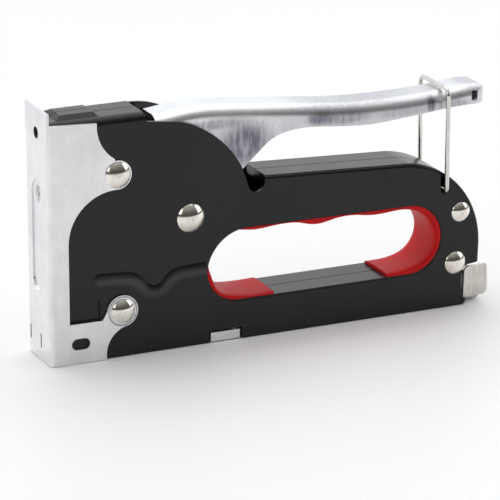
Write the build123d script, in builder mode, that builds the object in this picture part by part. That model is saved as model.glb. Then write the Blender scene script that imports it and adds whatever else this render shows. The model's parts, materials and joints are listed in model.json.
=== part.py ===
from build123d import *
import os

# Hand staple gun with its lever latched shut. All sizes are millimetres.
# The frame's origin is the middle of the base. +X points from the nose to the tail, +Z up.
# Sketch coordinates on the side, top and front planes are measured from the nose front
# and from the base, so (27, 70) on a side plane is 27 behind the nose and 70 up.

os.makedirs("parts", exist_ok=True)

# ---------------------------------------------------------------- driving dimensions
LENGTH = 181.0          # nose front to lever tip and pull tab
SHEET = 1.2             # shell sheet thickness
PLATE = 1.0             # nose plate thickness
SHELL_Y = 10.3          # outer half width of the shells
WALL_Y = SHELL_Y - SHEET
NOSE_Y = SHELL_Y + PLATE
SEAM_GAP = 0.2          # half gap between the two shells at the centre plane
NOSE_TOP = 92.2         # top of the shells at the nose
WING_TOP = 91.8         # top of the nose plate's wings at the front
PLATE_TOP = 96.2        # top edge of the nose plate's front wall
FIT = 0.05              # radial running clearance

PIVOT = (56.3, 50.0)
UPPER_FRONT = (27.2, 70.4)
LOWER_FRONT = (28.6, 17.9)
REAR_UPPER = (168.6, 37.6)
REAR_LOWER = (166.6, 17.5)
BAIL_PIVOT = (162.0, 46.8)
PIVOT_SLEEVE_R = 4.0
SHAFT_R = 2.5
HEAD_RIM = 0.35         # straight rim under a rivet's dome

LEVER_Y = 8.4           # outer half width of the lever
LEVER_SHEET = 1.2
WIRE_R = 0.9
BAIL_Y = SHELL_Y + 0.2 + WIRE_R
BAIL_TOP = 86.9

STRIKE_X = 10.5         # centre of the power spring, behind the nose front
BLADE_X = 1.1
BLADE_T = 0.9
BLADE_LIFT = 11.1       # blade tip height with the lever latched
PLUNGER_TOP = 63.0

RAIL_Y = 4.8
RAIL_TOP = 9.4
CROWN_Y = 5.65          # half width of a staple
WIRE_T = 0.7
STRIP_LENGTH = 60.0
CHANNEL_Y = 7.0
ROD_Z = 5.6
PUSHER_X = 61.4
PUSHER_LENGTH = 12.0
LATCH_X = 172.0         # front face of the magazine latch
LATCH_SHEET = 1.0
TAB_Y = 10.1            # outer face of the latch's tabs

# ---------------------------------------------------------------- planes
SIDE = Plane(origin=(-LENGTH / 2, 0, 0), x_dir=(1, 0, 0), z_dir=(0, -1, 0))
TOP = Plane(origin=(-LENGTH / 2, 0, 0), x_dir=(1, 0, 0), z_dir=(0, 0, 1))
FRONT = Plane(origin=(-LENGTH / 2, 0, 0), x_dir=(0, 1, 0), z_dir=(1, 0, 0))


def side_at(y):
    """Side-view plane standing at this Y. It faces -Y."""
    return SIDE.offset(-y)


def front_at(x):
    """Cross-section plane this far behind the nose front. It faces +X."""
    return FRONT.offset(x)


def axis_at(x, z):
    """Axis along Y through a point of the side view."""
    return Axis((x - LENGTH / 2, 0, z), (0, 1, 0))


def finish(piece, name):
    """Label a finished piece and write it."""
    piece.label = name
    export_step(piece, f"parts/{name}.step")


# ---------------------------------------------------------------- shell outlines
def shell_outline():
    """Outer edge of a half shell, seen from the side."""
    Polyline((39.4, 88.9), (39.4, NOSE_TOP), (1, NOSE_TOP), (1, 0), (63.7, 0), (63.7, 4.5), (77.0, 4.5), (77.0, 0), (169.6, 0))
    ThreePointArc((169.6, 0), (170.9, 0.6), (171.4, 1.8))
    Polyline((171.4, 1.8), (171.4, 14.8))
    ThreePointArc((171.4, 14.8), (171.8, 15.7), (172.8, 16.0))
    Polyline((172.8, 16.0), (177.0, 16.5), (177.3, 24.0))
    ThreePointArc((177.3, 24.0), (168.3, 48.0), (146.0, 59.3))
    Polyline((146.0, 59.3), (86.7, 62.2))
    Polyline((86.7, 62.2), (86.5, 59.8))
    ThreePointArc((86.5, 59.8), (83.2, 56.5), (79.7, 59.6))
    Polyline((79.7, 59.6), (77.5, 66.3))
    ThreePointArc((77.5, 66.3), (66.2, 80.2), (50.4, 87.6))
    Line((50.4, 87.6), (39.4, 88.9))


def opening_outline():
    """Edge of the finger opening, seen from the side."""
    Line((80, 43.0), (147.2, 42.4))
    ThreePointArc((147.2, 42.4), (156.9, 38.2), (160.5, 28.8))
    ThreePointArc((160.5, 28.8), (156.6, 19.3), (147.2, 15.3))
    Line((147.2, 15.3), (75.6, 15.4))
    ThreePointArc((75.6, 15.4), (67.0, 19.0), (63.3, 27.6))
    ThreePointArc((63.3, 27.6), (68.3, 38.3), (80, 43.0))


def bead_path():
    """Centre line of the pressed bead on a shell's side."""
    FilletPolyline((22.5, 30.0), (33.4, 29.2), (38.6, 23.0), (44.4, 22.6), (50.0, 28.6), (57.6, 28.9), radius=3.5)


SHAFTS = [PIVOT, UPPER_FRONT, LOWER_FRONT, REAR_UPPER, REAR_LOWER]

with BuildPart() as left_shell:
    with BuildSketch(side_at(-SEAM_GAP)):
        with BuildLine():
            shell_outline()
        make_face()
        with BuildLine():
            opening_outline()
        make_face(mode=Mode.SUBTRACT)
    extrude(amount=SHELL_Y - SEAM_GAP)
    # rounded edges: a wide bend over the nose, narrow ones over the handle and round the opening
    outer_edges = left_shell.faces().sort_by(Axis.Y)[0].edges()
    fillet(outer_edges.sort_by(Axis.Z)[-1], radius=3.0)
    side_edges = left_shell.faces().sort_by(Axis.Y)[0].edges()
    fillet([edge for edge in side_edges if edge.center().X > 0 and edge.center().Z > 45], radius=1.4)
    fillet(left_shell.faces().sort_by(Axis.Y)[0].inner_wires()[0].edges(), radius=0.7)
    # pad pressed up from the front top flange
    with BuildSketch(TOP.offset(NOSE_TOP - 1.9)):
        with Locations((12.4, -SEAM_GAP)):
            Rectangle(22.6, 9.8 - SEAM_GAP, align=(Align.CENTER, Align.MAX))
    with BuildSketch(TOP.offset(NOSE_TOP + 1.4)):
        with Locations((14.0, -SEAM_GAP)):
            Rectangle(12.6, 4.6, align=(Align.CENTER, Align.MAX))
    loft()
    # hollow inside, leaving the side wall and the flanges that reach the centre plane
    with BuildSketch(side_at(SHEET)):
        with BuildLine():
            shell_outline()
        make_face()
        offset(amount=-SHEET, kind=Kind.INTERSECTION)
        with BuildLine():
            opening_outline()
        hole_face = make_face(mode=Mode.PRIVATE)
        add(offset(hole_face, amount=SHEET, mode=Mode.PRIVATE), mode=Mode.SUBTRACT)
    extrude(amount=WALL_Y + SHEET, mode=Mode.SUBTRACT)
    # no flange at the nose front, along the base, over the lever slot and round the tail exit
    with BuildSketch(side_at(SHEET)):
        with Locations((0, -1)):
            Rectangle(3.4, 90.0, align=(Align.MIN, Align.MIN))
            Rectangle(LENGTH, 4.0, align=(Align.MIN, Align.MIN))
        with Locations((60, 0)):
            Rectangle(20.6, 7.0, align=(Align.MIN, Align.MIN))
        with Locations((38.6, 50)):
            Rectangle(48.6, 50.0, align=(Align.MIN, Align.MIN))
        with Locations((160, 0)):
            Rectangle(30.0, 17.8, align=(Align.MIN, Align.MIN))
    extrude(amount=WALL_Y + SHEET, mode=Mode.SUBTRACT)
    # pressed bead on the side wall
    with BuildSketch(side_at(-SHELL_Y + 0.2)):
        with BuildLine():
            bead_path()
            offset(amount=2.2, side=Side.BOTH)
        make_face()
    extrude(amount=0.5, taper=30)
    # shallow rectangular pocket over the nose wing's cut-out
    with BuildSketch(side_at(-SHELL_Y + 0.6)):
        with Locations((14.1, 19.5)):
            Rectangle(12.0, 7.4)
    extrude(amount=1, mode=Mode.SUBTRACT)
    # cut-out at the tail for the magazine latch's tab
    with BuildSketch(side_at(-WALL_Y + 1)):
        with Locations((169.3, 2.3)):
            Rectangle(4.0, 13.2, align=(Align.MIN, Align.MIN))
    extrude(amount=SHEET + 3, mode=Mode.SUBTRACT)
    # holes for the rivets and the slot that takes the bail's foot
    with BuildSketch(side_at(-WALL_Y + 1)):
        with Locations(*SHAFTS):
            Circle(SHAFT_R)
        with Locations((BAIL_PIVOT[0], BAIL_PIVOT[1] + 0.8)):
            Circle(2.0)
            Rectangle(4.0, 12.0, align=(Align.CENTER, Align.MIN))
    extrude(amount=SHEET + 3, mode=Mode.SUBTRACT)
    with BuildSketch(side_at(0.5)):
        with Locations((BAIL_PIVOT[0], 51.0)):
            Rectangle(4.0, 12.0, align=(Align.CENTER, Align.MIN))
    extrude(amount=SHELL_Y + 1, mode=Mode.SUBTRACT)
finish(left_shell.part, "left_shell")

with BuildPart() as right_shell:
    mirror(left_shell.part, about=Plane.XZ)
    # guard lip that rises beside the lever on this side only
    with BuildSketch(side_at(WALL_Y)):
        with BuildLine():
            Polyline((39.4, 86.0), (39.4, NOSE_TOP - 1.1), (42.0, NOSE_TOP - 1.1))
            ThreePointArc((42.0, NOSE_TOP - 1.1), (49.0, 90.0), (55.6, 87.2))
            Polyline((55.6, 87.2), (57.2, 84.6), (54.0, 82.0), (39.4, 86.0))
        make_face()
    extrude(amount=-SHEET)
finish(right_shell.part, "right_shell")


# ---------------------------------------------------------------- nose plate
def wing_outline():
    """Side wing of the nose plate with its two rivet lugs."""
    Polyline((0, 0), (0, WING_TOP), (19.3, WING_TOP - 1.0))
    ThreePointArc((19.3, WING_TOP - 1.0), (21.0, 82.4), (26.2, 76.6))
    lug = CenterArc(UPPER_FRONT, 5.5, 100, -190)
    Line((26.2, 76.6), lug @ 0)
    ThreePointArc(lug @ 1, (12.0, 58.0), (7.6, 46.0))
    Polyline((7.6, 46.0), (7.6, 15.4), (20.6, 15.3))
    ring = CenterArc(LOWER_FRONT, 6.1, 172, -240)
    Line((20.6, 15.3), ring @ 0)
    ThreePointArc(ring @ 1, (25.0, 9.2), (22.2, 0))
    Line((22.2, 0), (0, 0))


with BuildPart() as nose_plate:
    # front wall and wings, bent from one sheet
    with BuildSketch(side_at(-NOSE_Y)):
        with BuildLine():
            wing_outline()
        make_face()
    extrude(amount=-2 * NOSE_Y)
    with BuildSketch(side_at(-SHELL_Y)):
        with Locations((PLATE, -1)):
            Rectangle(60, 120, align=(Align.MIN, Align.MIN))
    extrude(amount=-2 * SHELL_Y, mode=Mode.SUBTRACT)
    bends = nose_plate.edges().filter_by(Axis.Z).filter_by_position(Axis.X, -LENGTH / 2 - 0.1, -LENGTH / 2 + 0.1)
    fillet(bends, radius=2.1)
    # taller front edge
    with BuildSketch(front_at(0)):
        with Locations((0, WING_TOP - 6.0)):
            Rectangle(2 * SHELL_Y + 0.6, PLATE_TOP - WING_TOP + 6.0, align=(Align.CENTER, Align.MIN))
    extrude(amount=PLATE)
    # pressed groove down the front, round hole over it and two tab slits near the base
    with BuildSketch(front_at(-0.1)):
        with Locations((0, 47.6)):
            SlotOverall(43.0, 10.6, rotation=90)
    extrude(amount=0.6, mode=Mode.SUBTRACT)
    with BuildSketch(front_at(-0.1)):
        with Locations((0, 86.9)):
            Circle(2.2)
        with Locations((-1.6, 7.6), (8.6, 8.2)):
            Rectangle(0.9, 5.4)
    extrude(amount=PLATE + 0.2, mode=Mode.SUBTRACT)
    # long slots and rivet holes in the wings
    with BuildSketch(side_at(NOSE_Y + 0.1)):
        with Locations((11.9, 7.5)):
            SlotOverall(7.2, 4.3)
        with Locations(UPPER_FRONT, LOWER_FRONT):
            Circle(SHAFT_R)
    extrude(amount=2 * NOSE_Y + 0.2, mode=Mode.SUBTRACT)
finish(nose_plate.part, "nose_plate")


# ---------------------------------------------------------------- rivets and spacer sleeves


def rivet_profile(seat_y, head_r, head_h):
    """Section of a rivet with a domed head at both ends: across is the radius, along is Y."""
    dome_r = (head_r ** 2 + (head_h - HEAD_RIM) ** 2) / (2 * (head_h - HEAD_RIM))
    half_way = seat_y + head_h - dome_r + (dome_r ** 2 - head_r ** 2 / 4) ** 0.5
    Line((SHAFT_R, -seat_y), (SHAFT_R, seat_y))
    for end in (-1, 1):
        Polyline((SHAFT_R, end * seat_y), (head_r, end * seat_y), (head_r, end * (seat_y + HEAD_RIM)))
        ThreePointArc((head_r, end * (seat_y + HEAD_RIM)), (head_r / 2, end * half_way), (0, end * (seat_y + head_h)))
    Line((0, seat_y + head_h), (0, -seat_y - head_h))


RIVETS = [
    ("upper_front_rivet", UPPER_FRONT, NOSE_Y, 4.95, 2.1),
    ("lower_front_rivet", LOWER_FRONT, NOSE_Y, 4.6, 2.0),
    ("pivot_rivet", PIVOT, SHELL_Y, 5.4, 2.4),
    ("rear_upper_rivet", REAR_UPPER, SHELL_Y, 3.85, 1.8),
    ("rear_lower_rivet", REAR_LOWER, SHELL_Y, 4.4, 2.0),
]
for name, centre, seat_y, head_r, head_h in RIVETS:
    section = Plane(origin=(centre[0] - LENGTH / 2, 0, centre[1]), x_dir=(1, 0, 0), z_dir=(0, 0, 1))
    with BuildPart() as rivet_piece:
        with BuildSketch(section):
            with BuildLine():
                rivet_profile(seat_y, head_r, head_h)
            make_face()
        revolve(axis=axis_at(*centre))
    finish(rivet_piece.part, name)

SLEEVES = [
    ("upper_front_sleeve", UPPER_FRONT, 3.8),
    ("lower_front_sleeve", LOWER_FRONT, 3.8),
    ("pivot_sleeve", PIVOT, PIVOT_SLEEVE_R),
    ("rear_upper_sleeve", REAR_UPPER, 3.6),
    ("rear_lower_sleeve", REAR_LOWER, 3.6),
]
for name, centre, radius in SLEEVES:
    with BuildPart() as sleeve:
        with BuildSketch(SIDE):
            with Locations(centre):
                Circle(radius)
                Circle(SHAFT_R, mode=Mode.SUBTRACT)
        extrude(amount=WALL_Y, both=True)
    finish(sleeve.part, name)


# ---------------------------------------------------------------- lever
CROWN = [
    (43.8, 89.5), (49.0, 90.0), (54.0, 90.6), (60.0, 91.0), (67.0, 90.8), (75.0, 90.1), (87.0, 88.9), (98.0, 87.7),
    (108.0, 86.6), (124.0, 85.2), (140.0, 84.8), (152.0, 85.0), (162.0, 85.5), (168.0, 86.1), (172.5, 86.5),
    (178.0, 86.3), (184.0, 85.8),
]
UNDERSIDE = [
    (184.0, 79.2), (176.0, 79.1), (170.0, 79.1), (156.7, 78.2), (142.3, 76.9), (130.0, 76.3), (114.4, 77.5),
    (104.1, 78.3), (96.0, 77.6), (88.6, 74.6),
]
CROWN_SHEET = 3.0       # depth of the crown over the side walls

with BuildPart() as lever:
    with BuildSketch(SIDE):
        with BuildLine():
            Spline(*CROWN)
            Line(CROWN[-1], UNDERSIDE[0])
            Spline(*UNDERSIDE)
            Line((88.6, 74.6), (69.0, 57.2))
            boss = CenterArc(PIVOT, 8.6, 35, -190)
            Line((69.0, 57.2), boss @ 0)
            Polyline(boss @ 1, (44.4, 72.0), CROWN[0])
        make_face()
    extrude(amount=LEVER_Y, both=True)
    # rounded shoulders along the crown
    crown_edges = lever.edges().filter_by(GeomType.BSPLINE).filter_by_position(Axis.Z, 80.0, 92.0)
    fillet(crown_edges, radius=4.6)
    # open channel from below, closed at the tail
    with BuildSketch(SIDE):
        with BuildLine():
            inner = Spline(*[(x, z - LEVER_SHEET) for x, z in CROWN[:-2]])
            Polyline(inner @ 1, (177.0, 84.8), (178.6, 83.0), (178.6, 20.0), (30.0, 20.0), (30.0, 88.0), inner @ 0)
        make_face()
    extrude(amount=LEVER_Y - CROWN_SHEET, both=True, mode=Mode.SUBTRACT)
    with BuildSketch(SIDE):
        with BuildLine():
            inner = Spline(*[(x, z - CROWN_SHEET) for x, z in CROWN[:-2]])
            Polyline(inner @ 1, (177.4, 82.6), (177.4, 20.0), (30.0, 20.0), (30.0, 86.2), inner @ 0)
        make_face()
    extrude(amount=LEVER_Y - LEVER_SHEET, both=True, mode=Mode.SUBTRACT)
    # blunt tail, rounded off above and below, and in plan
    with BuildSketch(SIDE):
        with BuildLine():
            ThreePointArc((175.8, 86.5), (179.5, 85.2), (181.0, 81.9))
            Polyline((181.0, 81.9), (186.0, 81.9), (186.0, 90.0), (175.8, 90.0), (175.8, 86.5))
        make_face()
        with BuildLine():
            ThreePointArc((181.0, 81.3), (180.2, 79.7), (178.6, 79.1))
            Polyline((178.6, 79.1), (178.6, 76.0), (186.0, 76.0), (186.0, 81.3), (181.0, 81.3))
        make_face()
    extrude(amount=LEVER_Y, both=True, mode=Mode.SUBTRACT)
    with BuildSketch(TOP.offset(30)):
        with Locations((30, 0)):
            RectangleRounded(2 * (LENGTH - 30), 2 * LEVER_Y, radius=7.0)
    extrude(amount=70, mode=Mode.INTERSECT)
    # pivot bores, cross-pin holes and the small window in each side near the tail
    with BuildSketch(side_at(LEVER_Y + 1)):
        with Locations(PIVOT):
            Circle(PIVOT_SLEEVE_R + FIT)
        with Locations((60.0, 75.0)):
            Circle(2.0)
        with Locations((174.9, 82.3)):
            RectangleRounded(2.6, 3.8, radius=0.8, rotation=-4)
    extrude(amount=2 * LEVER_Y + 2, mode=Mode.SUBTRACT)
finish(lever.part, "lever")

with BuildPart() as lever_fork:
    with BuildSketch(SIDE):
        with BuildLine():
            Polyline((15.3, 53.6), (30.0, 53.0), (49.4, 44.6), (60.0, 43.6), (64.4, 52.0), (65.0, 80.0), (55.0, 80.0))
            Polyline((55.0, 80.0), (50.6, 59.0), (30.0, 59.2), (15.3, 58.4))
            ThreePointArc((15.3, 58.4), (12.9, 56.0), (15.3, 53.6))
        make_face()
        with Locations(PIVOT):
            Circle(PIVOT_SLEEVE_R + FIT, mode=Mode.SUBTRACT)
        with Locations((60.0, 75.0)):
            Circle(2.0, mode=Mode.SUBTRACT)
    extrude(amount=2.4, both=True)
finish(lever_fork.part, "lever_fork")

with BuildPart() as lever_cross_pin:
    with BuildSketch(SIDE):
        with Locations((60.0, 75.0)):
            Circle(2.0)
    extrude(amount=LEVER_Y, both=True)
finish(lever_cross_pin.part, "lever_cross_pin")

with BuildPart() as fork_spacers:
    with BuildSketch(side_at(-2.4), side_at(LEVER_Y - LEVER_SHEET)):
        with Locations(PIVOT):
            Circle(6.4)
            Circle(PIVOT_SLEEVE_R + FIT, mode=Mode.SUBTRACT)
    extrude(amount=LEVER_Y - LEVER_SHEET - 2.4)
finish(fork_spacers.part, "fork_spacers")


# ---------------------------------------------------------------- striker
with BuildPart() as plunger:
    with BuildSketch(side_at(6.0)):
        with Locations((BLADE_X + BLADE_T, 48.0)):
            Rectangle(16.0, PLUNGER_TOP - 48.0, align=(Align.MIN, Align.MIN))
    extrude(amount=12.0)
    fillet(plunger.edges().filter_by(Axis.Z).sort_by(Axis.X)[-2:], radius=2.0)
    # lug that carries the blade
    with BuildSketch(front_at(BLADE_X)):
        with Locations((0, 57.0)):
            Circle(3.0)
    extrude(amount=BLADE_T)
    # pocket for the fork's tip, open to the rear
    with BuildSketch(side_at(2.9)):
        with Locations((10.4, 52.9)):
            Rectangle(10.0, 6.2, align=(Align.MIN, Align.MIN))
    extrude(amount=5.8, mode=Mode.SUBTRACT)
finish(plunger.part, "plunger")

with BuildPart() as driver_blade:
    with BuildSketch(front_at(BLADE_X)):
        with Locations((0, BLADE_LIFT)):
            Rectangle(11.0, 50.0, align=(Align.CENTER, Align.MIN))
        with Locations((0, 57.0)):
            Circle(3.0, mode=Mode.SUBTRACT)
    extrude(amount=BLADE_T)
finish(driver_blade.part, "driver_blade")

with BuildPart() as spring_cup:
    with BuildSketch(TOP.offset(PLUNGER_TOP)):
        with Locations((STRIKE_X, 0)):
            Circle(7.2)
    extrude(amount=1.2)
    with BuildSketch(TOP.offset(PLUNGER_TOP + 1.2)):
        with Locations((STRIKE_X, 0)):
            Circle(4.2)
    extrude(amount=7.4)
    chamfer(spring_cup.edges().sort_by(Axis.Z)[-1], length=1.0)
finish(spring_cup.part, "spring_cup")

with BuildPart() as spring_stop:
    with BuildSketch(TOP.offset(88.0)):
        with Locations((2.2, 0)):
            Rectangle(18.0, 2 * WALL_Y, align=(Align.MIN, Align.CENTER))
    extrude(amount=1.8)
    with BuildSketch(TOP.offset(88.0)):
        with Locations((STRIKE_X, 0)):
            Circle(4.2)
    extrude(amount=-5.6)
finish(spring_stop.part, "spring_stop")


def coil_path(plane, radius, pitch, height):
    """Centre line of a coil spring that climbs along the plane's normal."""
    return plane.location * Helix(pitch=pitch, height=height, radius=radius)


POWER_WIRE = 0.95
POWER_R = 5.9
POWER_LOW = PLUNGER_TOP + 1.2 + POWER_WIRE + 0.02
POWER_HIGH = 88.0 - POWER_WIRE - 0.02
power_plane = Plane(origin=(STRIKE_X - LENGTH / 2, 0, POWER_LOW), z_dir=(0, 0, 1))
with BuildPart() as power_spring:
    power_line = coil_path(power_plane, POWER_R, (POWER_HIGH - POWER_LOW) / 6, POWER_HIGH - POWER_LOW)
    with BuildSketch(Plane(origin=power_line @ 0, z_dir=power_line % 0)):
        Circle(POWER_WIRE)
    sweep(path=power_line, is_frenet=True)
finish(power_spring.part, "power_spring")

with BuildPart() as blade_guide:
    with BuildSketch(SIDE):
        with BuildLine():
            Polyline((2.15, 13.2), (3.4, 13.2), (3.4, 30.8), (17.0, 30.8), (23.6, 14.0), (24.7, 14.6), (18.0, 32.0))
            Polyline((18.0, 32.0), (2.15, 32.0), (2.15, 13.2))
        make_face()
    extrude(amount=WALL_Y, both=True)
finish(blade_guide.part, "blade_guide")

with BuildPart() as impact_bumper:
    with BuildSketch(TOP.offset(32.0)):
        with Locations((2.6, 0)):
            Rectangle(14.6, 15.0, align=(Align.MIN, Align.CENTER))
    extrude(amount=4.2)
    fillet(impact_bumper.edges().filter_by(Axis.Z), radius=2.0)
finish(impact_bumper.part, "impact_bumper")


# ---------------------------------------------------------------- magazine
with BuildPart() as magazine_channel:
    # inverted channel over the staples
    with BuildSketch(front_at(3.6)):
        with Locations((0, 0.6)):
            Rectangle(2 * CHANNEL_Y, 11.4, align=(Align.CENTER, Align.MIN))
            Rectangle(2 * CHANNEL_Y - 2.0, 10.4, align=(Align.CENTER, Align.MIN), mode=Mode.SUBTRACT)
    extrude(amount=167.9 - 3.6)
    # stop tabs that turn out through the notches in the shells
    with BuildSketch(front_at(64.4)):
        for sign in (-1, 1):
            with Locations((sign * (SHELL_Y + CHANNEL_Y) / 2, 1.1)):
                Rectangle(SHELL_Y - CHANNEL_Y + 0.1, PLATE)
            with Locations((sign * (SHELL_Y - PLATE / 2), 2.1)):
                Rectangle(PLATE, 3.4)
    extrude(amount=11.8)
finish(magazine_channel.part, "magazine_channel")

with BuildPart() as staple_rail:
    with BuildSketch(front_at(3.6)):
        with Locations((0, 2.6)):
            Rectangle(2 * RAIL_Y, RAIL_TOP - 2.6, align=(Align.CENTER, Align.MIN))
            Rectangle(2 * RAIL_Y - 2.0, RAIL_TOP - 3.6, align=(Align.CENTER, Align.MIN), mode=Mode.SUBTRACT)
    extrude(amount=LATCH_X - 3.6)
    # bridge near the nose that carries the rod's front end
    with BuildSketch(front_at(8.0)):
        with Locations((0, 2.6)):
            Rectangle(2 * RAIL_Y, RAIL_TOP - 2.6, align=(Align.CENTER, Align.MIN))
        with Locations((0, ROD_Z)):
            Circle(1.2, mode=Mode.SUBTRACT)
    extrude(amount=4.0)
finish(staple_rail.part, "staple_rail")

with BuildPart() as pusher_rod:
    with BuildSketch(front_at(8.0)):
        with Locations((0, ROD_Z)):
            Circle(1.2)
    extrude(amount=LATCH_X - 8.0)
finish(pusher_rod.part, "pusher_rod")

with BuildPart() as rail_block:
    with BuildSketch(front_at(LATCH_X + LATCH_SHEET)):
        with Locations((0, 0.4)):
            Rectangle(11.6, 10.0, align=(Align.CENTER, Align.MIN))
    extrude(amount=6.8)
    chamfer(rail_block.edges().filter_by(Axis.Y).sort_by(Axis.X)[-2:], length=1.0)
finish(rail_block.part, "rail_block")

with BuildPart() as magazine_latch:
    # cross plate behind the rail, with a finger tab each side in the shells' tail cut-outs
    with BuildSketch(front_at(LATCH_X)):
        with Locations((0, 3.4)):
            Rectangle(2 * TAB_Y - 1.0, 9.2, align=(Align.CENTER, Align.MIN))
    extrude(amount=LATCH_SHEET)
    for y in (-TAB_Y, TAB_Y - LATCH_SHEET):
        with BuildSketch(side_at(y)):
            with BuildLine():
                Polyline((178.2, 2.9), (170.6, 2.9), (170.9, 13.4), (172.4, 15.1), (180.6, 15.2), (180.9, 5.8))
                ThreePointArc((180.9, 5.8), (180.2, 3.8), (178.2, 2.9))
            make_face()
        extrude(amount=-LATCH_SHEET)
    fillet(magazine_latch.edges().filter_by(Axis.Y).filter_by_position(Axis.Z, 15, 16), radius=0.8)
finish(magazine_latch.part, "magazine_latch")

with BuildPart() as staple_strip:
    with BuildSketch(front_at(1.2)):
        with Locations((0, 2.4)):
            Rectangle(2 * CROWN_Y, 8.0, align=(Align.CENTER, Align.MIN))
            Rectangle(2 * (CROWN_Y - WIRE_T), 8.0 - WIRE_T, align=(Align.CENTER, Align.MIN), mode=Mode.SUBTRACT)
    extrude(amount=STRIP_LENGTH)
finish(staple_strip.part, "staple_strip")

with BuildPart() as pusher:
    # saddle over the rail, closed underneath, with a block inside the rail for the rod
    with BuildSketch(front_at(PUSHER_X)):
        with Locations((0, 1.4)):
            Rectangle(2 * CROWN_Y, 9.1, align=(Align.CENTER, Align.MIN))
        with Locations((0, 2.4)):
            Rectangle(2 * (RAIL_Y + 0.2), 7.2, align=(Align.CENTER, Align.MIN), mode=Mode.SUBTRACT)
        with Locations((0, 2.0)):
            Rectangle(2 * (RAIL_Y - 1.0 - 0.2), 6.2, align=(Align.CENTER, Align.MIN))
        with Locations((0, ROD_Z)):
            Circle(1.2 + FIT, mode=Mode.SUBTRACT)
    extrude(amount=PUSHER_LENGTH)
finish(pusher.part, "pusher")

SPRING_X = PUSHER_X + PUSHER_LENGTH
spring_plane = Plane(origin=(SPRING_X + 0.35 - LENGTH / 2, 0, ROD_Z), z_dir=(1, 0, 0))
with BuildPart() as pusher_spring:
    reach = LATCH_X - SPRING_X - 0.7
    spring_line = coil_path(spring_plane, 2.2, reach / 18, reach)
    with BuildSketch(Plane(origin=spring_line @ 0, z_dir=spring_line % 0)):
        Circle(0.3)
    sweep(path=spring_line, is_frenet=True)
finish(pusher_spring.part, "pusher_spring")


# ---------------------------------------------------------------- latch bail
with BuildPart() as latch_bail:
    with BuildLine() as wire:
        bail_x = BAIL_PIVOT[0] - LENGTH / 2
        FilletPolyline(
            (bail_x, -WALL_Y + 1.6, BAIL_PIVOT[1]),
            (bail_x, -BAIL_Y, BAIL_PIVOT[1]),
            (bail_x, -BAIL_Y, BAIL_TOP),
            (bail_x, BAIL_Y, BAIL_TOP),
            (bail_x, BAIL_Y, BAIL_PIVOT[1]),
            (bail_x, WALL_Y - 1.6, BAIL_PIVOT[1]),
            radius=[1.6, 2.8, 2.8, 1.6],
        )
    with BuildSketch(Plane(origin=wire.line @ 0, z_dir=wire.line % 0)):
        Circle(WIRE_R)
    sweep(path=wire.line)
finish(latch_bail.part, "latch_bail")


# ---------------------------------------------------------------- grip inserts
INSERT_Y = SHELL_Y - 0.5


def crest_line():
    """Inner edge of the rear insert: shallow finger waves along the top, then round the tail."""
    Spline((76.0, 42.4), (80.4, 41.2), (88.6, 41.3), (94.0, 42.0), (101.0, 41.3), (108.0, 39.7), (115.0, 40.6),
           (122.0, 41.4), (130.0, 40.3), (138.0, 40.3), (146.0, 40.5), (154.4, 36.8), (158.2, 29.0),
           (155.2, 20.8), (147.2, 17.2), (138.0, 16.7))


with BuildPart() as rear_grip_insert:
    with BuildSketch(side_at(INSERT_Y)):
        with BuildLine():
            opening_outline()
        make_face()
        with BuildLine():
            crest_line()
            Polyline((138.0, 16.7), (138.0, 10.0), (50.0, 10.0), (50.0, 42.4), (76.0, 42.4))
        make_face(mode=Mode.SUBTRACT)
    extrude(amount=2 * INSERT_Y)
finish(rear_grip_insert.part, "rear_grip_insert")

with BuildPart() as front_grip_insert:
    with BuildSketch(side_at(INSERT_Y)):
        with BuildLine():
            opening_outline()
        make_face()
        with BuildLine():
            Spline((60.0, 33.2), (64.9, 28.0), (68.4, 20.2), (76.0, 16.9), (90.5, 16.6))
            Polyline((90.5, 16.6), (90.5, 10.0), (170.0, 10.0), (170.0, 60.0), (60.0, 60.0), (60.0, 33.2))
        make_face(mode=Mode.SUBTRACT)
    extrude(amount=2 * INSERT_Y)
finish(front_grip_insert.part, "front_grip_insert")
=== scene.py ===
import json
import math

import bmesh
import bpy
from mathutils import Matrix, Vector


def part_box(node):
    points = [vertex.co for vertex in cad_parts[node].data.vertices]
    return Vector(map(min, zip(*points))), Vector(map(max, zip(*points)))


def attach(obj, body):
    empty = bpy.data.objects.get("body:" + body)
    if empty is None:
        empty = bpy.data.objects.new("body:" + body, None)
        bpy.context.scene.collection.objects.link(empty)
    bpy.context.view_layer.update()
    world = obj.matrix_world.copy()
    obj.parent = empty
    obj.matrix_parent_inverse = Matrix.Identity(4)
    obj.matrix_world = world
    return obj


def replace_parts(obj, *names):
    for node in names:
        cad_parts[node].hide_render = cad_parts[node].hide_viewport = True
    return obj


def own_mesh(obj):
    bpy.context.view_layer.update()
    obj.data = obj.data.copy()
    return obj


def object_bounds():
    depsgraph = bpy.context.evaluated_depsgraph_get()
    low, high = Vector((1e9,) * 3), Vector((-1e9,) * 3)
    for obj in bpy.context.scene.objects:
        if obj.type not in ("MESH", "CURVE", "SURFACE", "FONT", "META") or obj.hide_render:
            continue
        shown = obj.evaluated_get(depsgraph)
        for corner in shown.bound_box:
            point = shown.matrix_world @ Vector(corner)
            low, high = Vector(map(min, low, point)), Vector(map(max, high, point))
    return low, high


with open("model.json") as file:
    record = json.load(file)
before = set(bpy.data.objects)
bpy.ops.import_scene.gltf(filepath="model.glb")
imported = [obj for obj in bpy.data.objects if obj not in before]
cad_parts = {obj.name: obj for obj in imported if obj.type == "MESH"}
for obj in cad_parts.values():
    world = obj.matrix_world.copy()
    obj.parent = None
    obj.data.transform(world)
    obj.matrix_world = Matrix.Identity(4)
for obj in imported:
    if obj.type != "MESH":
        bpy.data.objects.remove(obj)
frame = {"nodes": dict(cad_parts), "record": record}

CAD_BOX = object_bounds()
NODES = frame["nodes"]
MM = 0.001
NOSE_X = CAD_BOX[0][0]


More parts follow.
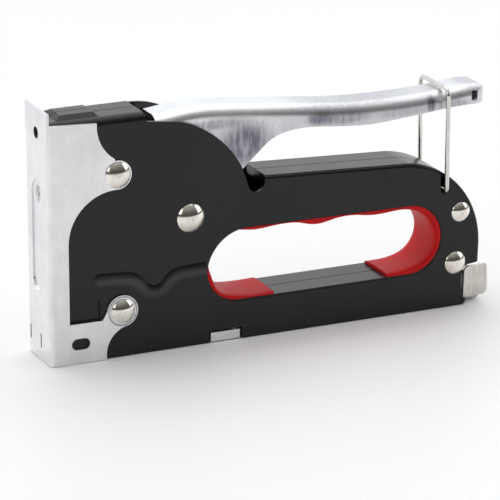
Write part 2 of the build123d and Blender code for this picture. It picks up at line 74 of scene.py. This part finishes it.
def at(x, y, z):
    """Place in metres, from millimetres behind the nose front, off the middle plane and above the base."""
    return Vector((NOSE_X + x * MM, y * MM, z * MM))


# ---------------------------------------------------------------- shader helper
class Shader:
    """A material's nodes, with a Principled shader and the object's own coordinates in metres."""

    def __init__(self, name, color, metallic=0.0, roughness=0.4):
        self.material = bpy.data.materials.new(name)
        self.material.use_nodes = True
        self.tree = self.material.node_tree
        self.tree.nodes.clear()
        self.output = self.tree.nodes.new("ShaderNodeOutputMaterial")
        self.bsdf = self.tree.nodes.new("ShaderNodeBsdfPrincipled")
        self.tree.links.new(self.bsdf.outputs["BSDF"], self.output.inputs["Surface"])
        self.set("Base Color", (*color, 1.0))
        self.set("Metallic", metallic)
        self.set("Roughness", roughness)
        self.object = self.tree.nodes.new("ShaderNodeTexCoord").outputs["Object"]
        self.normal = None

    def set(self, socket, value):
        self.bsdf.inputs[socket].default_value = value

    def link(self, output, socket):
        self.tree.links.new(output, socket)

    def into(self, socket, output):
        self.link(output, self.bsdf.inputs[socket])

    def stretched(self, scale, turn=(0, 0, 0)):
        """Object coordinates turned, then scaled along each axis."""
        node = self.tree.nodes.new("ShaderNodeMapping")
        node.vector_type = "POINT"
        node.inputs["Scale"].default_value = scale
        node.inputs["Rotation"].default_value = [math.radians(a) for a in turn]
        self.link(self.object, node.inputs["Vector"])
        return node.outputs["Vector"]

    def noise(self, scale, coords=None, detail=3.0, rough=0.5, distortion=0.0):
        node = self.tree.nodes.new("ShaderNodeTexNoise")
        node.inputs["Scale"].default_value = scale
        node.inputs["Detail"].default_value = detail
        node.inputs["Roughness"].default_value = rough
        node.inputs["Distortion"].default_value = distortion
        self.link(coords or self.object, node.inputs["Vector"])
        return node.outputs["Fac"]

    def patch(self, place, reach):
        """Soft blob round a place: 1 in its middle, 0 at its reach in millimetres along each axis."""
        value = self.object
        for operation, vector in (("SUBTRACT", place), ("DIVIDE", [r * MM for r in reach])):
            node = self.tree.nodes.new("ShaderNodeVectorMath")
            node.operation = operation
            node.inputs[1].default_value = vector
            self.link(value, node.inputs[0])
            value = node.outputs["Vector"]
        node = self.tree.nodes.new("ShaderNodeVectorMath")
        node.operation = "LENGTH"
        self.link(value, node.inputs[0])
        return self.remap(node.outputs["Value"], 0.3, 1.0, 1.0, 0.0)

    def cells(self, scale, coords=None, feature="F1", output="Distance"):
        node = self.tree.nodes.new("ShaderNodeTexVoronoi")
        node.feature = feature
        node.inputs["Scale"].default_value = scale
        self.link(coords or self.object, node.inputs["Vector"])
        return node.outputs[output]

    def remap(self, value, low, high, to_low=0.0, to_high=1.0, smooth=True):
        node = self.tree.nodes.new("ShaderNodeMapRange")
        node.interpolation_type = "SMOOTHSTEP" if smooth else "LINEAR"
        for socket, number in zip(("From Min", "From Max", "To Min", "To Max"), (low, high, to_low, to_high)):
            node.inputs[socket].default_value = number
        self.link(value, node.inputs["Value"])
        return node.outputs["Result"]

    def math(self, operation, a, b):
        node = self.tree.nodes.new("ShaderNodeMath")
        node.operation = operation
        for socket, value in zip(node.inputs, (a, b)):
            if isinstance(value, (int, float)):
                socket.default_value = value
            else:
                self.link(value, socket)
        return node.outputs["Value"]

    def colors(self, fac, *stops):
        """Colour ramp: each stop is (position, (r, g, b))."""
        node = self.tree.nodes.new("ShaderNodeValToRGB")
        ramp = node.color_ramp
        for index, (place, color) in enumerate(stops):
            element = ramp.elements[index] if index < 2 else ramp.elements.new(place)
            element.position = place
            element.color = (*color, 1.0)
        self.link(fac, node.inputs["Fac"])
        return node.outputs["Color"]

    def mix(self, fac, a, b, mode="MIX"):
        node = self.tree.nodes.new("ShaderNodeMix")
        node.data_type = "RGBA"
        node.blend_type = mode
        for socket, value in zip((node.inputs["Factor"], node.inputs["A"], node.inputs["B"]), (fac, a, b)):
            self.fill(socket, value)
        return node.outputs["Result"]

    def fill(self, socket, value):
        if isinstance(value, tuple):
            socket.default_value = (*value, 1.0)
        elif isinstance(value, (int, float)):
            socket.default_value = value
        else:
            self.link(value, socket)

    def bump(self, height, distance, strength=1.0):
        """Adds a relief of this height in metres on top of the reliefs so far."""
        node = self.tree.nodes.new("ShaderNodeBump")
        node.inputs["Strength"].default_value = strength
        node.inputs["Distance"].default_value = distance
        self.link(height, node.inputs["Height"])
        if self.normal is not None:
            self.link(self.normal, node.inputs["Normal"])
        self.normal = node.outputs["Normal"]
        self.into("Normal", self.normal)


# ---------------------------------------------------------------- materials
RIB_FOOT = 0.01036          # metres off the middle plane where a shell's rib starts to stand proud
RIB_CREST = 0.0110          # and where it is highest


def black_enamel():
    """Sprayed black paint over sheet steel: faint rolling lines, dust specks, and a painted highlight on the ribs'
    crests.
    """
    s = Shader("black_enamel", (0.016, 0.016, 0.018), roughness=0.3)
    cloud = s.noise(28, detail=5, rough=0.6)
    rolled = s.noise(1.0, s.stretched((60, 60, 900)), detail=3)
    dust = s.remap(s.cells(760), 0.04, 0.10, 1.0, 0.0)
    patch = s.remap(s.noise(140, detail=2), 0.55, 0.72)
    specks = s.math("MULTIPLY", dust, patch)
    tone = s.math("ADD", s.math("MULTIPLY", cloud, 0.7), s.math("MULTIPLY", rolled, 0.3))
    base = s.colors(tone, (0.35, (0.0030, 0.0033, 0.0037)), (0.68, (0.0080, 0.0083, 0.0088)))
    split = s.tree.nodes.new("ShaderNodeSeparateXYZ")
    s.link(s.object, split.inputs["Vector"])
    # painted highlight: the ribs' crests are painted a paler grey
    rib_highlight = s.remap(s.math("ABSOLUTE", split.outputs["Y"], 0.0), RIB_FOOT, RIB_CREST)
    base = s.mix(s.math("MULTIPLY", rib_highlight, s.remap(cloud, 0.3, 0.7, 0.6, 1.0)), base, (0.040, 0.040, 0.041))
    s.into("Base Color", s.mix(s.math("MULTIPLY", specks, 0.5), base, (0.13, 0.13, 0.125)))
    s.into("Roughness", s.math("ADD", s.remap(cloud, 0.3, 0.75, 0.2, 0.3), s.math("MULTIPLY", specks, 0.3)))
    s.bump(s.noise(1100, detail=1), 0.00001)
    s.bump(rolled, 0.000004)
    s.set("Specular IOR Level", 0.36)
    return s.material


def plated(name, dark, light, roughness, grain, wave=0.0, wave_scale=60, spots=0.0, streaks=0.5, cloud_scale=45):
    """Plated steel: grain scales the brushed lines along X, Y and Z, and wave is the slow ripple in metres."""
    s = Shader(name, light, metallic=1.0, roughness=roughness)
    lines = s.noise(1.0, s.stretched(grain), detail=4, rough=0.65)
    cloud = s.noise(cloud_scale, detail=5, rough=0.6)
    blend = s.math("ADD", s.math("MULTIPLY", lines, streaks), s.math("MULTIPLY", cloud, 1.0 - streaks))
    tone = s.colors(blend, (0.36, dark), (0.62, light))
    if spots:
        pits = s.remap(s.noise(1500, detail=3), 0.62, 0.72, 0.0, spots)
        tone = s.mix(pits, tone, tuple(c * 0.3 for c in dark))
        dots = s.remap(s.cells(420), 0.03, 0.12, 1.0, 0.0)
        freckles = s.math("MULTIPLY", dots, s.remap(s.noise(60), 0.52, 0.66))
        tone = s.mix(s.math("MULTIPLY", freckles, spots), tone, tuple(c * 0.25 for c in dark))
    s.into("Base Color", tone)
    s.into("Roughness", s.remap(blend, 0.3, 0.7, roughness * 1.35, roughness * 0.7))
    if wave:
        s.bump(s.noise(wave_scale, detail=1), wave)
    s.bump(lines, 0.000006)
    return s.material


# painted dark reflections and shade: violet-grey zones on both of the lever's walls: place, reach in millimetres,
# depth
PAINTED_DARK_REFLECTIONS = [
    (at(79, 0, 75), (15, 60, 12), 1.0),
    (at(68, 0, 84), (16, 60, 3), 0.6),
    (at(125, 0, 86), (38, 60, 6), 0.35),
    (at(110, 0, 81), (8, 60, 3.6), 0.95),
    (at(120, 0, 80), (15, 60, 3.4), 0.7),
    (at(143, 0, 79.5), (18, 60, 2.6), 0.4),
    (at(156.5, 0, 81), (2.6, 60, 4.5), 0.95),
    (at(167, 0, 80), (8, 60, 2.2), 0.5),
    (at(177, 0, 87), (11, 60, 5), 0.4),
]


SHOULDER_LOW = 0.0830       # metres above the base where the painted shade on the lever's walls starts to give way to the painted highlight
SHOULDER_HIGH = 0.0872      # and where its painted-bright top begins


def lever_chrome():
    """Drawn sheet with a thin chrome layer: painted shade low on the walls and a painted highlight along the top,
    cloudy violet-grey painted dark reflections on the walls, slanting polishing lines.
    """
    s = Shader("drawn_chrome", (0.8, 0.8, 0.82), metallic=1.0, roughness=0.2)
    polish = s.noise(1.0, s.stretched((700, 700, 110), (0, 24, 0)), detail=3, rough=0.7)
    cloud = s.noise(26, detail=3, rough=0.55, distortion=0.6)
    mottle = s.noise(160, detail=3)
    clouds = s.math("ADD", s.math("MULTIPLY", cloud, 0.7), s.math("MULTIPLY", mottle, 0.3))
    # painted shade and highlight: a darker copy of the chrome for the walls, a brighter one for the top
    shaded_wall_tone = s.colors(clouds, (0.30, (0.56, 0.56, 0.60)), (0.46, (0.66, 0.66, 0.69)), (0.60, (0.75, 0.75, 0.77)))
    lit_crown_tone = s.colors(clouds, (0.30, (0.76, 0.77, 0.80)), (0.60, (0.88, 0.89, 0.91)))
    split = s.tree.nodes.new("ShaderNodeSeparateXYZ")
    s.link(s.object, split.inputs["Vector"])
    tone = s.mix(s.remap(split.outputs["Z"], SHOULDER_LOW, SHOULDER_HIGH), shaded_wall_tone, lit_crown_tone)
    # painted dark reflections and shade, in soft patches on the walls
    for place, reach, depth in PAINTED_DARK_REFLECTIONS:
        blob = s.math("MULTIPLY", s.patch(place, reach), s.remap(polish, 0.3, 0.65, 0.55 * depth, depth))
        tone = s.mix(blob, tone, (0.15, 0.15, 0.19))
    s.into("Base Color", s.mix(s.remap(polish, 0.5, 0.75, 0.0, 0.22), tone, (0.36, 0.36, 0.41)))
    s.into("Roughness", s.remap(polish, 0.3, 0.7, 0.30, 0.40))
    s.bump(s.noise(45, detail=1), 0.00012)
    s.bump(polish, 0.000005)
    return s.material


def bright_zinc():
    """Zinc-plated sheet: pale, cloudy, with tiny dark pin holes, and painted shade at the top of the front's groove.
    """
    s = Shader("bright_zinc", (0.75, 0.75, 0.75), metallic=1.0, roughness=0.3)
    cloud = s.noise(34, detail=6, rough=0.65)
    rolled = s.noise(1.0, s.stretched((300, 300, 60)), detail=3)
    tone = s.colors(s.math("ADD", s.math("MULTIPLY", cloud, 0.75), s.math("MULTIPLY", rolled, 0.25)),
                    (0.34, (0.71, 0.72, 0.73)), (0.64, (0.85, 0.855, 0.86)))
    dots = s.remap(s.cells(540), 0.04, 0.14, 1.0, 0.0)
    pits = s.math("MULTIPLY", dots, s.remap(s.noise(90, detail=3), 0.5, 0.64))
    tone = s.mix(s.math("MULTIPLY", pits, 0.55), tone, (0.10, 0.10, 0.11))
    # painted shade: a dark blotch at the top end of the front's groove
    groove_top_shade = s.patch(at(0, 0, 64), (3, 3.2, 4.5))
    groove_shade_blotch = s.math("MULTIPLY", groove_top_shade, s.remap(s.noise(700, detail=4), 0.36, 0.56))
    tone = s.mix(s.math("MULTIPLY", groove_shade_blotch, 0.9), tone, (0.05, 0.05, 0.055))
    s.into("Base Color", tone)
    s.into("Roughness", s.math("ADD", s.remap(cloud, 0.3, 0.7, 0.36, 0.24), s.math("MULTIPLY", pits, 0.2)))
    s.bump(s.noise(30, detail=1), 0.0001)
    s.bump(rolled, 0.000005)
    return s.material


def red_plastic():
    """Moulded red grip plastic, satin, with a fine grain and light that sinks in a little."""
    s = Shader("red_plastic", (0.5, 0.01, 0.012), roughness=0.42)
    cloud = s.noise(60, detail=3)
    s.into("Base Color", s.colors(cloud, (0.3, (0.48, 0.004, 0.004)), (0.7, (0.64, 0.009, 0.008))))
    s.into("Roughness", s.remap(cloud, 0.3, 0.7, 0.4, 0.52))
    s.bump(s.noise(1500, detail=2), 0.000015)
    s.set("Specular IOR Level", 0.16)
    s.set("Subsurface Weight", 0.08)
    s.set("Subsurface Radius", (0.004, 0.0008, 0.0008))
    s.set("Subsurface Scale", 0.3)
    return s.material


def moulded(name, dark, light, roughness, grain=1400):
    """Plain moulded plastic or rubber, cloudy between two tones."""
    s = Shader(name, light, roughness=roughness)
    cloud = s.noise(70, detail=4)
    s.into("Base Color", s.colors(cloud, (0.3, dark), (0.7, light)))
    s.into("Roughness", s.remap(cloud, 0.3, 0.7, roughness * 0.85, roughness * 1.15))
    s.bump(s.noise(grain, detail=2), 0.00003)
    return s.material


LOOKS = {
    "black_paint": black_enamel(),
    "nose_zinc": bright_zinc(),
    "lever_chrome": lever_chrome(),
    "rivet_nickel": plated(
        "rivet_nickel", (0.70, 0.66, 0.60), (0.92, 0.89, 0.83), 0.12, (900, 60, 900),
        wave=0.00003, wave_scale=260, spots=0.2, streaks=0.4, cloud_scale=200),
    "wire_nickel": plated(
        "wire_nickel", (0.50, 0.49, 0.46), (0.84, 0.82, 0.78), 0.14, (900, 900, 60), spots=0.2),
    "magazine_steel": plated(
        "zinc_sheet", (0.76, 0.77, 0.79), (0.95, 0.96, 0.97), 0.25, (20, 500, 500), wave=0.00005, spots=0.2),
    "latch_steel": plated(
        "latch_nickel", (0.52, 0.49, 0.45), (0.76, 0.73, 0.69), 0.24, (600, 600, 20),
        wave=0.0001, wave_scale=90, spots=0.35, streaks=0.4, cloud_scale=90),
    "grip_red": red_plastic(),
    "spring_steel": plated("spring_steel", (0.16, 0.16, 0.17), (0.40, 0.40, 0.42), 0.3, (300, 300, 300)),
    "hard_steel": plated("ground_steel", (0.30, 0.30, 0.32), (0.55, 0.55, 0.57), 0.28, (60, 500, 500)),
    "black_rubber": moulded("black_rubber", (0.004, 0.004, 0.004), (0.014, 0.014, 0.014), 0.7),
    "block_plastic": moulded("pale_plastic", (0.66, 0.66, 0.65), (0.80, 0.80, 0.79), 0.45),
    "staple_wire": plated("staple_wire", (0.50, 0.50, 0.52), (0.80, 0.80, 0.82), 0.22, (900, 300, 300)),
}
for part in frame["record"]["subparts"]:
    node = NODES[part["node"]]
    node.data.materials.clear()
    node.data.materials.append(LOOKS[part["material_slot"]])
BODIES = frame["record"]["behaviour"]["bodies"]
BODY_OF = {node: body for body, names in BODIES.items() for node in names}


# ---------------------------------------------------------------- pieces
def piece(name, mesh, slot, body, smooth_angle=40):
    """A piece in the frame's own coordinates, finished in a slot's look and carried by a body."""
    mesh.materials.clear()
    mesh.materials.append(LOOKS[slot])
    mesh.polygons.foreach_set("use_smooth", [True] * len(mesh.polygons))
    mesh.set_sharp_from_angle(angle=math.radians(smooth_angle))
    made = bpy.data.objects.new(name, mesh)
    bpy.context.scene.collection.objects.link(made)
    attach(made, body)
    return made


def mesh_from(name, points, faces):
    mesh = bpy.data.meshes.new(name)
    mesh.from_pydata(points, [], faces)
    mesh.update()
    return mesh


def grid_faces(rows, columns, closed=False):
    """Quads over a grid of points, row after row; closed joins each row's end to its start."""
    faces = []
    for row in range(rows - 1):
        low, high = row * columns, (row + 1) * columns
        for c in range(columns if closed else columns - 1):
            after = (c + 1) % columns
            faces.append((low + c, low + after, high + after, high + c))
    return faces


def smooth_step(t):
    t = min(max(t, 0.0), 1.0)
    return t * t * (3 - 2 * t)


def rounded_path(corners, cut, steps=6):
    """Points along a polyline in the side view, each inner corner replaced by a curve that starts cut before it."""
    corners = [Vector(c) for c in corners]
    path = [corners[0]]
    for before, corner, after in zip(corners, corners[1:], corners[2:]):
        start = corner + (before - corner).normalized() * cut
        end = corner + (after - corner).normalized() * cut
        shares = [t / steps for t in range(steps + 1)]
        path += [start.lerp(corner, t).lerp(corner.lerp(end, t), t) for t in shares]
    return path + [corners[-1]]


def spread(path, spacing):
    """The same path with its long spans split."""
    points = [path[0]]
    for a, b in zip(path, path[1:]):
        parts = max(1, round((b - a).length / spacing))
        points += [a.lerp(b, n / parts) for n in range(1, parts + 1)]
    return points


SHELL_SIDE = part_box("left_shell")[0][1] / -MM - 0.5     # the shell's flat side under the bead's crest
BEAD_CORNERS = [(16.0, 30.5), (33.4, 29.2), (38.6, 23.0), (44.4, 22.6), (50.0, 28.6), (62.6, 29.0)]
BEAD_RUN_IN = 4.0           # millimetres over which the rib rises from the flat at its front end
FOOT_SINK = 0.02            # how far the rib's foot lies under the shell's side


def pressed_bead(side):
    """Soft rib pressed out of the shell's side, with no hard edge at its foot."""
    half_width, crest, columns = 4.6, 0.95, 13
    path = spread(rounded_path(BEAD_CORNERS, 3.0), 0.8)
    points, along = [], 0.0
    for index, place in enumerate(path):
        before, after = path[max(index - 1, 0)], path[min(index + 1, len(path) - 1)]
        heading = (after - before).normalized()
        along += (place - before).length
        rise = smooth_step(along / BEAD_RUN_IN)
        for c in range(columns):
            across = 2 * c / (columns - 1) - 1
            x, z = place + Vector((-heading.y, heading.x)) * across * half_width
            lift = crest * rise * math.cos(across * math.pi / 2) ** 2 - FOOT_SINK
            points.append(at(x, side * (SHELL_SIDE + lift), z))
    mesh = mesh_from("bead", points, grid_faces(len(path), columns))
    return piece(f"bead_{'left' if side < 0 else 'right'}", mesh, "black_paint", "frame", 80)


for side in (-1, 1):
    pressed_bead(side)


def side_profile(node):
    """A flat-sided node's outline in the side view, as (x, z) in order round the loop."""
    work = bmesh.new()
    work.from_mesh(NODES[node].data)
    bmesh.ops.remove_doubles(work, verts=work.verts, dist=0.00001)
    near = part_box(node)[0][1]
    following = {}
    for face in work.faces:
        if face.normal.y > -0.9 or abs(face.calc_center_median().y - near) > 0.00005:
            continue
        for loop in face.loops:
            if any(abs(other.normal.y) < 0.5 for other in loop.edge.link_faces):
                following[loop.vert.index] = loop.link_loop_next.vert.index
    places = {vert.index: (vert.co.x, vert.co.z) for vert in work.verts}
    work.free()
    start = vert = next(iter(following))
    outline = []
    while True:
        outline.append(places[vert])
        vert = following[vert]
        if vert == start:
            return outline


OPENING_AXIS = (at(80, 0, 29), at(147, 0, 29))     # from one round end of the finger opening to the other


def span_distance(place, a, b):
    """How far a place is from the span between two others."""
    share = min(max((place - a).dot(b - a) / (b - a).length_squared, 0.0), 1.0)
    return (place - a.lerp(b, share)).length


# shares of the lining's half width at which its section is taken, closer together towards the rolled rims
RIM_SHARES = [0, 0.35, 0.6, 0.76, 0.86, 0.92, 0.96, 0.985, 1]
RIM_SINK = 1.0              # millimetres the rims fall below the middle of the hollow face
SINK_OF_THICKNESS = 0.6     # the most of its own thickness that the lining may lose there
FACES_HOLLOW = 0.45         # how squarely a stretch has to face the opening to count as its hollow side


def hollow_facings(outline):
    """Which way each point of the outline faces, for points on the hollow side and at its two ends."""
    facings = []
    for before, place, after in zip(outline[-1:] + outline[:-1], outline, outline[1:] + outline[:1]):
        axis_x = min(max(place.x, OPENING_AXIS[0].x), OPENING_AXIS[1].x)
        inward = Vector((axis_x - place.x, OPENING_AXIS[0].z - place.y)).normalized()
        headings = [(place - before).normalized(), (after - place).normalized()]
        normals = [Vector((heading.y, -heading.x)) for heading in headings]
        on_hollow = min(normal.dot(inward) for normal in normals) > FACES_HOLLOW
        facings.append((normals[0] + normals[1]).normalized() if on_hollow else None)
    with_ends = list(facings)
    for n, facing in enumerate(facings):
        if facing is None:
            with_ends[n] = facings[n - 1] or facings[(n + 1) % len(facings)]
    return with_ends


def crowned_lining(name, node):
    """The moulded grip lining: the CAD insert with its hollow face crowned and its rims rolled over."""
    outline = [Vector(p) for p in side_profile(node)]
    area = sum(a.x * b.y - b.x * a.y for a, b in zip(outline, outline[1:] + outline[:1]))
    if area < 0:
        outline.reverse()
    facings = hollow_facings(outline)
    count = len(outline)
    backing = [(outline[n - 1], outline[n]) for n in range(count) if facings[n - 1] is None and facings[n] is None]
    shifts = []
    for place, facing in zip(outline, facings):
        thickness = min(span_distance(place, a, b) for a, b in backing)
        sink = min(RIM_SINK * MM, SINK_OF_THICKNESS * thickness)
        shifts.append(facing * sink if facing else Vector((0, 0)))
    low, high = (corner[1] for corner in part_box(node))
    half = (high - low) / 2
    stations = [-share for share in RIM_SHARES[:0:-1]] + RIM_SHARES
    points = []
    for share in stations:
        fall = 0.25 * share ** 2 + 0.75 * abs(share) ** 9
        for place, shift in zip(outline, shifts):
            moved = place - shift * fall
            points.append((moved.x, share * half, moved.y))
    faces = grid_faces(len(stations), count, closed=True)
    faces += [tuple(range(count)), tuple(range(len(points) - 1, len(points) - 1 - count, -1))]
    mesh = mesh_from(name, points, faces)
    work = bmesh.new()
    work.from_mesh(mesh)
    bmesh.ops.recalc_face_normals(work, faces=work.faces)
    work.to_mesh(mesh)
    work.free()
    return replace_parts(piece(name, mesh, "grip_red", BODY_OF[node], 50), node)


crowned_lining("rear_grip_lining", "rear_grip_insert")
crowned_lining("front_grip_lining", "front_grip_insert")


def coil(name, node, body):
    """A coil spring: a copy of the CAD node's mesh in the spring look, carried by a body in the node's place."""
    made = piece(name, NODES[node].data.copy(), "spring_steel", body)
    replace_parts(made, node)
    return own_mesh(made)


coil("feed_coil", "pusher_spring", "magazine_slide")
coil("power_coil", "power_spring", "frame")


def staple_stack():
    """The loaded strip as single wires, glued side by side."""
    (x0, y0, z0), (x1, y1, z1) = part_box("staple_strip")
    wire, pitch = 0.62 * MM, 0.7 * MM
    count = int((x1 - x0) / pitch)
    points, faces = [], []
    for n in range(count):
        first = len(points)
        front = x0 + n * pitch
        for x in (front, front + wire):
            points += [(x, y0, z0), (x, y0, z1), (x, y1, z1), (x, y1, z0)]
            points += [(x, y1 - wire, z0), (x, y1 - wire, z1 - wire), (x, y0 + wire, z1 - wire), (x, y0 + wire, z0)]
        faces += [(first + c, first + (c + 1) % 8, first + 8 + (c + 1) % 8, first + 8 + c) for c in range(8)]
        for base in (first, first + 8):
            faces += [(base + n, base + n + 1, base + 6 - n, base + 7 - n) for n in range(3)]
    made = piece("staples", mesh_from("staples", points, faces), "staple_wire", BODY_OF["staple_strip"], 20)
    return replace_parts(made, "staple_strip")


staple_stack()


def pressed_ring(name, x, z, y, radius, thick, slot):
    """A fine ring pressed round a rivet's seat."""
    turns, ring = 64, 8
    points, faces = [], []
    for t in range(turns):
        a = 2 * math.pi * t / turns
        for r in range(ring):
            b = 2 * math.pi * r / ring
            reach = radius + thick * math.cos(b)
            points.append(at(x + reach * math.cos(a), y + thick * math.sin(b), z + reach * math.sin(a)))
    for t in range(turns):
        here, there = t * ring, (t + 1) % turns * ring
        for r in range(ring):
            after = (r + 1) % ring
            faces.append((here + r, here + after, there + after, there + r))
    return piece(name, mesh_from(name, points, faces), slot, "frame", 80)


PLATE_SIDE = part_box("nose_plate")[1][1] / MM
LUG_X, LUG_Z = 28.6, 17.9   # the lower front rivet, in millimetres behind the nose and above the base
for side in (-1, 1):
    hand = "left" if side < 0 else "right"
    pressed_ring(f"lug_ring_{hand}", LUG_X, LUG_Z, side * PLATE_SIDE, 5.5, 0.3, "hard_steel")


def ribbon(name, corners, width, side, y, slot):
    """Flat strip along a line on the tool's side."""
    path = rounded_path(corners, 0.8, 4)
    points = []
    for index, place in enumerate(path):
        heading = (path[min(index + 1, len(path) - 1)] - path[max(index - 1, 0)]).normalized()
        across = Vector((-heading.y, heading.x)) * width / 2
        points += [at(x, side * y, z) for x, z in (place - across, place + across)]
    return piece(name, mesh_from(name, points, grid_faces(len(path), 2)), slot, "frame")


FLAP_EDGE = [(7.6, 23.1), (20.1, 23.1), (20.1, 16.4)]
# black strips along the flap's edge on each side: painted shadow in the gap there
for side in (-1, 1):
    hand = "left" if side < 0 else "right"
    ribbon(f"flap_gap_shadow_{hand}", FLAP_EDGE, 0.6, side, SHELL_SIDE + 0.03, "black_rubber")


def tail_shade_plug():
    """Black block inside the lever's tail: painted shade seen through the windows there."""
    size = Vector((2.5, 15.4, 3.7)) * MM
    place = Matrix.Translation(at(174.9, 0, 82.3)) @ Matrix.Diagonal((*size, 1.0))
    work = bmesh.new()
    bmesh.ops.create_cube(work, size=1.0, matrix=place)
    bmesh.ops.bevel(work, geom=work.edges[:], offset=0.5 * MM, segments=3, affect="EDGES")
    mesh = bpy.data.meshes.new("tail_shade_plug")
    work.to_mesh(mesh)
    work.free()
    return piece("tail_shade_plug", mesh, "black_rubber", "squeeze_lever")


tail_shade_plug()


# ---------------------------------------------------------------- floor, light, camera
def pale_floor():
    """Plain pale paper sweep."""
    s = Shader("pale_floor", (0.93, 0.93, 0.93), roughness=0.5)
    cloud = s.noise(3, detail=2)
    s.into("Base Color", s.colors(cloud, (0.3, (0.925, 0.925, 0.925)), (0.7, (0.94, 0.94, 0.94))))
    return s.material


FLOOR_HALF = 1.6            # metres from the middle of the floor to its edge
FLOOR_DROP = 0.0002         # metres the floor lies under the tool's base
floor_mesh = bpy.data.meshes.new("floor")
corners = [(x * FLOOR_HALF, y * FLOOR_HALF, 0) for x, y in ((-1, -1), (1, -1), (1, 1), (-1, 1))]
floor_mesh.from_pydata(corners, [], [(0, 1, 2, 3)])
floor_mesh.materials.append(pale_floor())
floor = bpy.data.objects.new("floor", floor_mesh)
floor.location.z = -FLOOR_DROP
bpy.context.scene.collection.objects.link(floor)


def soft_light(name, place, target, size, power):
    """White area light at a place, turned towards its target; size in metres, power in watts."""
    data = bpy.data.lights.new(name, "AREA")
    data.shape = "RECTANGLE"
    data.size, data.size_y = size
    data.energy = power
    lamp = bpy.data.objects.new(name, data)
    lamp.location = place
    lamp.rotation_euler = (Vector(target) - Vector(place)).to_track_quat("-Z", "Y").to_euler()
    bpy.context.scene.collection.objects.link(lamp)
    return lamp


soft_light("overhead", (0.1, 0.25, 1.5), (0, 0, 0), (2.4, 2.0), 10.5)
soft_light("front_left", (-1.3, -1.0, 0.9), (0, 0, 0.03), (1.0, 1.0), 4.5)
soft_light("right_fill", (1.5, -0.6, 0.7), (0, 0, 0.03), (0.8, 1.0), 3.5)


def world_ramp(tree, height, stops):
    """Grey levels by height: -1 straight down, 1 straight up."""
    node = tree.nodes.new("ShaderNodeValToRGB")
    ramp = node.color_ramp
    for index, (place, color) in enumerate(stops):
        element = ramp.elements[index] if index < 2 else ramp.elements.new(0.5 + place / 2)
        element.position = 0.5 + place / 2
        element.color = (*color, 1.0)
    tree.links.new(height, node.inputs["Fac"])
    return node.outputs["Color"]


def studio_world():
    """A bright sweep behind and overhead, and a dim brown-grey room in front of the bench."""
    world = bpy.data.worlds.new("studio")
    bpy.context.scene.world = world
    world.use_nodes = True
    tree = world.node_tree
    tree.nodes.clear()
    new, link = tree.nodes.new, tree.links.new
    split = new("ShaderNodeSeparateXYZ")
    link(new("ShaderNodeTexCoord").outputs["Generated"], split.inputs["Vector"])
    height = new("ShaderNodeMapRange")
    height.inputs["From Min"].default_value = -1.0
    link(split.outputs["Z"], height.inputs["Value"])
    front = new("ShaderNodeMapRange")
    front.interpolation_type = "SMOOTHSTEP"
    front.inputs["From Min"].default_value = 0.35
    front.inputs["From Max"].default_value = -0.25
    link(split.outputs["Y"], front.inputs["Value"])
    back_sky = world_ramp(tree, height.outputs["Result"], [
        (-1.0, (0.8, 0.8, 0.8)), (0.0, (1.0, 1.02, 1.05)), (0.4, (1.03, 1.05, 1.08)),
        (1.0, (1.05, 1.05, 1.05))])
    room = world_ramp(tree, height.outputs["Result"], [
        (-1.0, (0.6, 0.6, 0.6)), (-0.04, (0.45, 0.44, 0.43)), (0.02, (0.05, 0.048, 0.046)),
        (0.32, (0.13, 0.125, 0.12)), (0.62, (0.30, 0.295, 0.29)), (0.86, (0.52, 0.52, 0.52)),
        (0.97, (0.88, 0.88, 0.89)), (1.0, (1.0, 1.0, 1.0))])
    sky = new("ShaderNodeMix")
    sky.data_type = "RGBA"
    link(front.outputs["Result"], sky.inputs["Factor"])
    link(back_sky, sky.inputs["A"])
    link(room, sky.inputs["B"])
    light = new("ShaderNodeBackground")
    link(sky.outputs["Result"], light.inputs["Color"])
    pale = new("ShaderNodeBackground")
    pale.inputs["Color"].default_value = (1.0, 1.0, 1.0, 1.0)
    path = new("ShaderNodeLightPath")
    mix = new("ShaderNodeMixShader")
    link(path.outputs["Is Camera Ray"], mix.inputs["Fac"])
    link(light.outputs["Background"], mix.inputs[1])
    link(pale.outputs["Background"], mix.inputs[2])
    link(mix.outputs["Shader"], new("ShaderNodeOutputWorld").inputs["Surface"])


studio_world()
bpy.context.scene.view_settings.view_transform = "Standard"

CAMERA_AT = at(-454.64, -1183.07, 458.89)
AIM_AT = at(85.13, 0, 30.49)
camera_data = bpy.data.cameras.new("camera")
camera_data.sensor_width = 36.0
camera_data.lens = 262.592
camera = bpy.data.objects.new("camera", camera_data)
camera.location = CAMERA_AT
camera.rotation_euler = (AIM_AT - CAMERA_AT).to_track_quat("-Z", "Y").to_euler()
bpy.context.scene.collection.objects.link(camera)
bpy.context.scene.camera = camera
